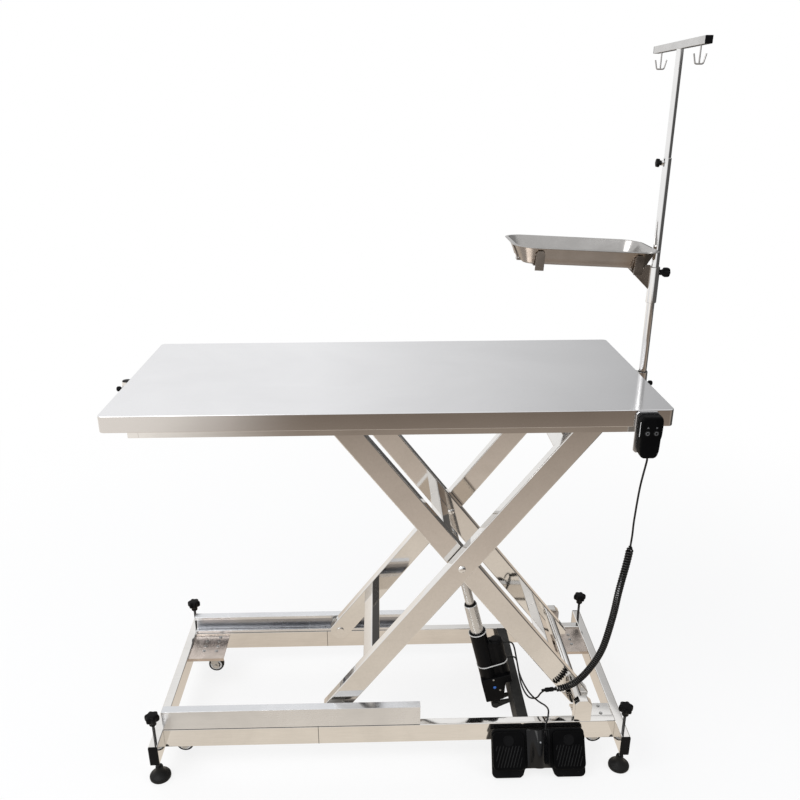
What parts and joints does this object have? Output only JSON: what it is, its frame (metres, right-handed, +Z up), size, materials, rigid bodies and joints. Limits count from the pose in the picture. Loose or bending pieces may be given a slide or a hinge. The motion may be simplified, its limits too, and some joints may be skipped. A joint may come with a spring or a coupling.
{
  "type": "veterinary surgery table",
  "caption": "Stainless steel electric scissor-lift surgery table with casters and levelling feet, infusion pole, instrument tray, corded handset and foot pedal.",
  "frame": {"origin": "on the floor, under the middle of the table's bounding box", "axes": "+Z up, +X along the table towards the infusion pole, -Y towards the handset and the foot pedal"},
  "size_m": [1.4142, 0.629, 1.8475],
  "materials": {
    "polished": "polished",
    "brushed": "brushed",
    "zinc": "zinc plated",
    "black": "satin",
    "rubber": "matte",
    "tread": "matte",
    "nylon": "satin",
    "cord": "satin"
  },
  "bodies": {
    "base": {"base_rail_front": "polished", "base_rail_rear": "polished", "base_end_left": "polished", "base_end_right": "polished", "base_cross_tube": "polished", "roller_channel_front": "polished", "roller_channel_rear": "polished", "pedal_base": "black", "handset_cord": "cord", "actuator_lead": "cord", "pedal_cord": "cord"},
    "inner_legs": {"inner_leg_frame": "polished", "lower_pivot_shaft": "zinc"},
    "outer_legs": {"outer_leg_frame": "polished", "upper_pivot_shaft": "zinc", "centre_bolt_front": "zinc", "centre_bolt_rear": "zinc"},
    "actuator": {"actuator_housing": "black", "actuator_tube": "brushed"},
    "actuator_rod": {"actuator_rod": "zinc"},
    "table": {"table_top": "brushed", "subframe": "polished", "upper_channel_front": "polished", "upper_channel_rear": "polished", "pole_socket_left": "polished", "pole_socket_right": "polished", "handset_holder": "polished", "handset_shell": "black"},
    "button_up": {"handset_button_up": "black"},
    "button_down": {"handset_button_down": "black"},
    "pole": {"pole_lower": "polished"},
    "pole_top": {"pole_upper": "polished"},
    "pole_knob": {"pole_knob": "black"},
    "tray_holder": {"tray_holder": "polished"},
    "tray_pan": {"tray_pan": "brushed"},
    "tray_knob": {"tray_knob": "black"},
    "treadle_left": {"treadle_left": "rubber"},
    "treadle_right": {"treadle_right": "rubber"},
    "upper_roller_front": {"upper_roller_front": "nylon"},
    "lower_roller_front": {"lower_roller_front": "nylon"},
    "upper_roller_rear": {"upper_roller_rear": "nylon"},
    "lower_roller_rear": {"lower_roller_rear": "nylon"},
    "socket_knob_left": {"socket_knob_left": "black"},
    "socket_knob_right": {"socket_knob_right": "black"},
    "leveller_front_left": {"leveller_screw_front_left": "black", "leveller_foot_front_left": "rubber"},
    "caster_front_left": {"caster_fork_front_left": "zinc"},
    "wheel_front_left": {"caster_wheel_front_left": "tread"},
    "leveller_rear_left": {"leveller_screw_rear_left": "black", "leveller_foot_rear_left": "rubber"},
    "caster_rear_left": {"caster_fork_rear_left": "zinc"},
    "wheel_rear_left": {"caster_wheel_rear_left": "tread"},
    "leveller_front_right": {"leveller_screw_front_right": "black", "leveller_foot_front_right": "rubber"},
    "caster_front_right": {"caster_fork_front_right": "zinc"},
    "wheel_front_right": {"caster_wheel_front_right": "tread"},
    "leveller_rear_right": {"leveller_screw_rear_right": "black", "leveller_foot_rear_right": "rubber"},
    "caster_rear_right": {"caster_fork_rear_right": "zinc"},
    "wheel_rear_right": {"caster_wheel_rear_right": "tread"}
  },
  "joints": [
    {"name": "lift", "type": "hinge", "parent": "base", "child": "inner_legs", "pos_m": [0.533, 0.0145, 0.1623], "axis": [0, -1, 0], "range_deg": [0, 35.11], "deforming": ["handset_cord"]},
    {"name": "scissor", "type": "hinge", "parent": "inner_legs", "child": "outer_legs", "pos_m": [0.18908, 0.0145, 0.60425], "axis": [0, -1, 0], "range_deg": [-70.23, 0]},
    {"name": "table_level", "type": "hinge", "parent": "outer_legs", "child": "table", "pos_m": [0.533, 0.0145, 1.0462], "axis": [0, -1, 0], "range_deg": [0, 35.12]},
    {"name": "actuator_tilt", "type": "hinge", "parent": "base", "child": "actuator", "pos_m": [0.318, -0.0355, 0.053], "axis": [0, -1, 0], "range_deg": [0, 36.59], "deforming": ["actuator_lead", "pedal_cord"]},
    {"name": "actuator_stroke", "type": "slide", "parent": "actuator", "child": "actuator_rod", "axis": [-0.2385, 0, 0.9711], "range_m": [-0.14512, 0]},
    {"name": "upper_roller_spin_front", "type": "hinge", "parent": "inner_legs", "child": "upper_roller_front", "pos_m": [-0.15484, -0.1655, 1.0462], "axis": [0, 1, 0], "continuous": true},
    {"name": "lower_roller_spin_front", "type": "hinge", "parent": "outer_legs", "child": "lower_roller_front", "pos_m": [-0.15484, -0.2055, 0.1623], "axis": [0, 1, 0], "continuous": true},
    {"name": "upper_roller_spin_rear", "type": "hinge", "parent": "inner_legs", "child": "upper_roller_rear", "pos_m": [-0.15484, 0.1945, 1.0462], "axis": [0, 1, 0], "continuous": true},
    {"name": "lower_roller_spin_rear", "type": "hinge", "parent": "outer_legs", "child": "lower_roller_rear", "pos_m": [-0.15484, 0.2345, 0.1623], "axis": [0, 1, 0], "continuous": true},
    {"name": "level_front_left", "type": "slide", "parent": "base", "child": "leveller_front_left", "axis": [0, 0, 1], "range_m": [-0.04, 0.0305]},
    {"name": "swivel_front_left", "type": "hinge", "parent": "base", "child": "caster_front_left", "pos_m": [-0.573, -0.1615, 0.126], "axis": [0, 0, 1], "continuous": true},
    {"name": "roll_front_left", "type": "hinge", "parent": "caster_front_left", "child": "wheel_front_left", "pos_m": [-0.585, -0.1615, 0.038], "axis": [0, 1, 0], "continuous": true},
    {"name": "level_rear_left", "type": "slide", "parent": "base", "child": "leveller_rear_left", "axis": [0, 0, 1], "range_m": [-0.04, 0.0305]},
    {"name": "swivel_rear_left", "type": "hinge", "parent": "base", "child": "caster_rear_left", "pos_m": [-0.573, 0.1905, 0.126], "axis": [0, 0, 1], "continuous": true},
    {"name": "roll_rear_left", "type": "hinge", "parent": "caster_rear_left", "child": "wheel_rear_left", "pos_m": [-0.561, 0.1905, 0.038], "axis": [0, 1, 0], "continuous": true},
    {"name": "level_front_right", "type": "slide", "parent": "base", "child": "leveller_front_right", "axis": [0, 0, 1], "range_m": [-0.04, 0.0305]},
    {"name": "swivel_front_right", "type": "hinge", "parent": "base", "child": "caster_front_right", "pos_m": [0.573, -0.1615, 0.126], "axis": [0, 0, 1], "continuous": true},
    {"name": "roll_front_right", "type": "hinge", "parent": "caster_front_right", "child": "wheel_front_right", "pos_m": [0.585, -0.1615, 0.038], "axis": [0, 1, 0], "continuous": true},
    {"name": "level_rear_right", "type": "slide", "parent": "base", "child": "leveller_rear_right", "axis": [0, 0, 1], "range_m": [-0.04, 0.0305]},
    {"name": "swivel_rear_right", "type": "hinge", "parent": "base", "child": "caster_rear_right", "pos_m": [0.573, 0.1905, 0.126], "axis": [0, 0, 1], "continuous": true},
    {"name": "roll_rear_right", "type": "hinge", "parent": "caster_rear_right", "child": "wheel_rear_right", "pos_m": [0.561, 0.1905, 0.038], "axis": [0, 1, 0], "continuous": true},
    {"name": "turn_socket_knob_left", "type": "hinge", "parent": "table", "child": "socket_knob_left", "pos_m": [-0.6805, 0.0145, 1.042], "axis": [1, 0, 0], "continuous": true},
    {"name": "turn_socket_knob_right", "type": "hinge", "parent": "table", "child": "socket_knob_right", "pos_m": [0.6805, 0.0145, 1.042], "axis": [1, 0, 0], "continuous": true},
    {"name": "pole_turn", "type": "hinge", "parent": "table", "child": "pole", "pos_m": [0.668, 0.0145, 1.078], "axis": [0, 0, 1], "continuous": true},
    {"name": "pole_extend", "type": "slide", "parent": "pole", "child": "pole_top", "axis": [0, 0, 1], "range_m": [-0.2, 0.2]},
    {"name": "turn_pole_knob", "type": "hinge", "parent": "pole", "child": "pole_knob", "pos_m": [0.668, 0.0145, 1.589], "axis": [1, 0, 0], "continuous": true},
    {"name": "tray_slide", "type": "slide", "parent": "pole", "child": "tray_holder", "axis": [0, 0, 1], "range_m": [-0.165, 0.1]},
    {"name": "tray_lift", "type": "slide", "parent": "tray_holder", "child": "tray_pan", "axis": [0, 0, 1], "range_m": [0, 0.06]},
    {"name": "turn_tray_knob", "type": "hinge", "parent": "tray_holder", "child": "tray_knob", "pos_m": [0.668, 0.0145, 1.331], "axis": [1, 0, 0], "continuous": true},
    {"name": "press_up", "type": "slide", "parent": "table", "child": "button_up", "axis": [0, 1, 0], "range_m": [0, 0.002], "stiffness_N_per_m": 800, "springref_m": -0.002},
    {"name": "press_down", "type": "slide", "parent": "table", "child": "button_down", "axis": [0, 1, 0], "range_m": [0, 0.002], "stiffness_N_per_m": 800, "springref_m": -0.002},
    {"name": "press_treadle_left", "type": "hinge", "parent": "base", "child": "treadle_left", "pos_m": [0.324, -0.23668, 0.10964], "axis": [1, 0, 0], "range_deg": [0, 3.9], "stiffness_Nm_per_rad": 8, "springref_deg": -5.73},
    {"name": "press_treadle_right", "type": "hinge", "parent": "base", "child": "treadle_right", "pos_m": [0.49, -0.23668, 0.10964], "axis": [1, 0, 0], "range_deg": [0, 3.9], "stiffness_Nm_per_rad": 8, "springref_deg": -5.73}
  ],
  "couplings": [
    {"joint": "scissor", "follows": "lift", "ratio": -2},
    {"joint": "table_level", "follows": "lift", "ratio": 1},
    {"joint": "actuator_tilt", "follows": "lift", "ratio": 1.0419},
    {"joint": "actuator_stroke", "follows": "lift", "m_per_rad": -0.2365}
  ]
}
